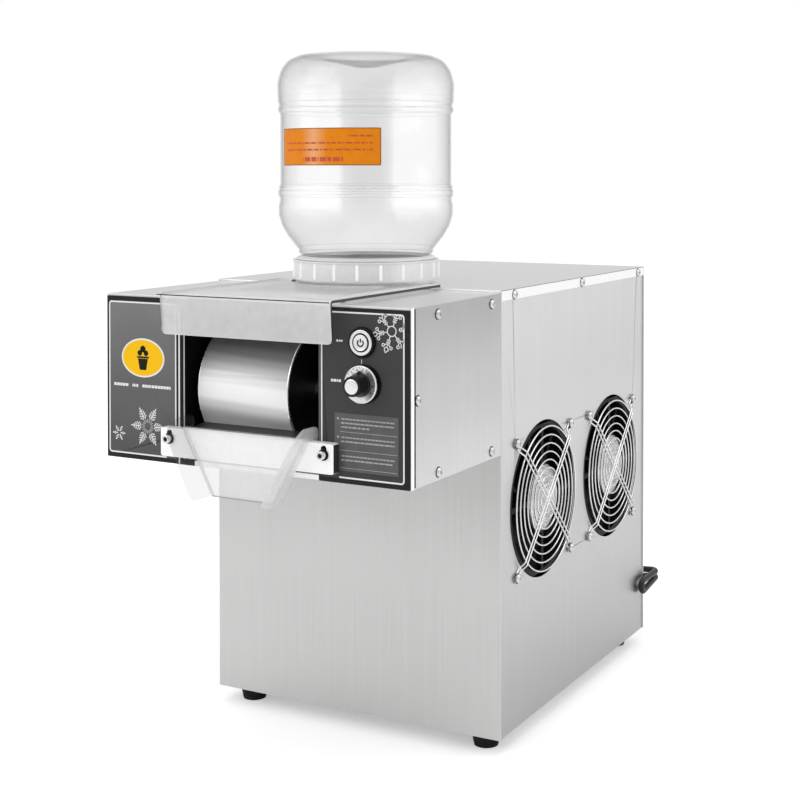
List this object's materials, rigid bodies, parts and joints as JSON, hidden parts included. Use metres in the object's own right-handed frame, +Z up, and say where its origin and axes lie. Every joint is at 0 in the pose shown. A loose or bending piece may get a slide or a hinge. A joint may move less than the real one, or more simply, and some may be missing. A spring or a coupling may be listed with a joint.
{
  "type": "shaved ice machine",
  "caption": "Countertop drum-type shaved ice machine: steel cabinet, overhanging head with scraper bar, clear chute, speed knob, side fans and an upturned water bottle on the roof.",
  "frame": {"origin": "centre of the stiffening plate under the cabinet's floor, flush with the cabinet's lower edges; the feet reach 12.5 mm below it to the counter", "axes": "+Z up, -Y out of the front where the drum and chute are, +X to the right seen from the front"},
  "size_m": [0.2745, 0.513, 0.5407],
  "materials": {
    "brushed_case_steel": "vertical brushed stainless sheet",
    "galvanised_sheet": "plain galvanised sheet",
    "black_fascia": "satin black printed film on sheet",
    "clear_acrylic": "clear acrylic sheet",
    "polished_bar": "bright satin stainless",
    "blade_steel": "ground blade steel",
    "fasteners": "bright zinc",
    "drum_steel": "turned stainless",
    "black_plastic": "black moulded plastic",
    "drum_end_plastic": "black nylon",
    "shaft_steel": "ground steel bar",
    "brass": "machined brass",
    "gear_plastic": "natural acetal",
    "motor_paint": "black enamel",
    "white_plastic": "white food grade plastic",
    "clear_hose": "translucent silicone",
    "bottle_plastic": "clear bottle plastic",
    "cap_plastic": "milky translucent plastic",
    "soft_rubber": "black rubber",
    "knob_plastic": "black moulded knob",
    "dial_metal": "satin aluminium disc",
    "guard_wire": "bright chromed wire",
    "copper": "drawn copper tube",
    "coil_fins": "aluminium fins",
    "board_green": "circuit board with parts",
    "cord_vinyl": "black flexible cord"
  },
  "bodies": {
    "cabinet": {"base_pan": "galvanised_sheet", "cabinet_front_panel": "brushed_case_steel", "right_side_panel": "brushed_case_steel", "left_side_panel": "brushed_case_steel", "rear_panel": "brushed_case_steel", "top_cover": "brushed_case_steel", "head_bottom_pan": "brushed_case_steel", "head_right_side": "brushed_case_steel", "head_left_side": "brushed_case_steel", "head_top_plate": "brushed_case_steel", "head_front_frame": "brushed_case_steel", "control_panel": "black_fascia", "badge_panel": "black_fascia", "chamber_left_wall": "brushed_case_steel", "chamber_right_wall": "brushed_case_steel", "chamber_back_wall": "brushed_case_steel", "blade_screws": "fasteners", "drum_bearings": "white_plastic", "rotary_union": "brass", "gear_motor": "motor_paint", "motor_bracket": "galvanised_sheet", "water_trough": "white_plastic", "feed_tube": "clear_hose", "bottle_seat": "white_plastic", "power_button_body": "fasteners", "panel_nuts": "fasteners", "potentiometer": "motor_paint", "fan_frames": "black_plastic", "fan_guards": "guard_wire", "guard_screws": "fasteners", "compressor": "motor_paint", "compressor_mounts": "soft_rubber", "condenser": "coil_fins", "refrigerant_lines": "copper", "control_board": "board_green", "strain_relief": "black_plastic", "power_cord": "cord_vinyl", "feet": "soft_rubber", "case_screws": "fasteners"},
    "drum": {"drum_shell": "drum_steel", "drum_end_left": "drum_end_plastic", "drum_end_right": "drum_end_plastic", "drum_shaft": "shaft_steel", "drum_gear": "gear_plastic"},
    "motor_pinion": {"motor_pinion": "shaft_steel"},
    "front_fan": {"front_fan_rotor": "black_plastic"},
    "rear_fan": {"rear_fan_rotor": "black_plastic"},
    "power_button": {"power_button": "fasteners"},
    "speed_knob": {"speed_knob": "knob_plastic", "speed_dial": "dial_metal", "potentiometer_shaft": "shaft_steel"},
    "visor": {"visor": "clear_acrylic"},
    "blade_bar": {"blade_bar": "polished_bar", "scraper_blade": "blade_steel"},
    "ice_chute": {"ice_chute": "clear_acrylic"},
    "water_bottle": {"water_bottle": "bottle_plastic"},
    "bottle_cap": {"bottle_cap": "cap_plastic", "cap_gasket": "soft_rubber"},
    "cap_valve": {"valve_plunger": "white_plastic", "valve_spring": "fasteners"}
  },
  "joints": [
    {"name": "drum_spin", "type": "hinge", "parent": "cabinet", "child": "drum", "pos_m": [-0.012, -0.2415, 0.2742], "axis": [1, 0, 0], "continuous": true},
    {"name": "pinion_spin", "type": "hinge", "parent": "cabinet", "child": "motor_pinion", "pos_m": [0.067, -0.1955, 0.2742], "axis": [1, 0, 0], "continuous": true},
    {"name": "front_fan_spin", "type": "hinge", "parent": "cabinet", "child": "front_fan", "pos_m": [0.119, -0.0735, 0.17], "axis": [1, 0, 0], "continuous": true},
    {"name": "rear_fan_spin", "type": "hinge", "parent": "cabinet", "child": "rear_fan", "pos_m": [0.119, 0.073, 0.17], "axis": [1, 0, 0], "continuous": true},
    {"name": "power_button_press", "type": "slide", "parent": "cabinet", "child": "power_button", "axis": [0, 1, 0], "range_m": [0, 0.0025]},
    {"name": "speed_knob_turn", "type": "hinge", "parent": "cabinet", "child": "speed_knob", "pos_m": [0.0948, -0.2945, 0.2889], "axis": [0, -1, 0], "range_deg": [-140, 140]},
    {"name": "visor_pull", "type": "slide", "parent": "cabinet", "child": "visor", "axis": [0, -1, 0], "range_m": [0, 0.09]},
    {"name": "blade_bar_adjust", "type": "slide", "parent": "cabinet", "child": "blade_bar", "axis": [0, 0, 1], "range_m": [-0.003, 0]},
    {"name": "chute_lift", "type": "slide", "parent": "blade_bar", "child": "ice_chute", "axis": [0, 0, 1], "range_m": [0, 0.03]},
    {"name": "bottle_lift", "type": "slide", "parent": "cabinet", "child": "water_bottle", "axis": [0, 0, 1], "range_m": [0, 0.12]},
    {"name": "cap_turn", "type": "hinge", "parent": "water_bottle", "child": "bottle_cap", "pos_m": [0, -0.1339, 0.3472], "axis": [0, 0, 1], "range_deg": [0, 360]},
    {"name": "valve_close", "type": "slide", "parent": "bottle_cap", "child": "cap_valve", "axis": [0, 0, -1], "range_m": [0, 0.004], "deforming": ["valve_spring"]}
  ],
  "couplings": [
    {"joint": "pinion_spin", "follows": "drum_spin", "ratio": -3.6},
    {"joint": "valve_close", "follows": "bottle_lift", "ratio": 0.033333}
  ]
}
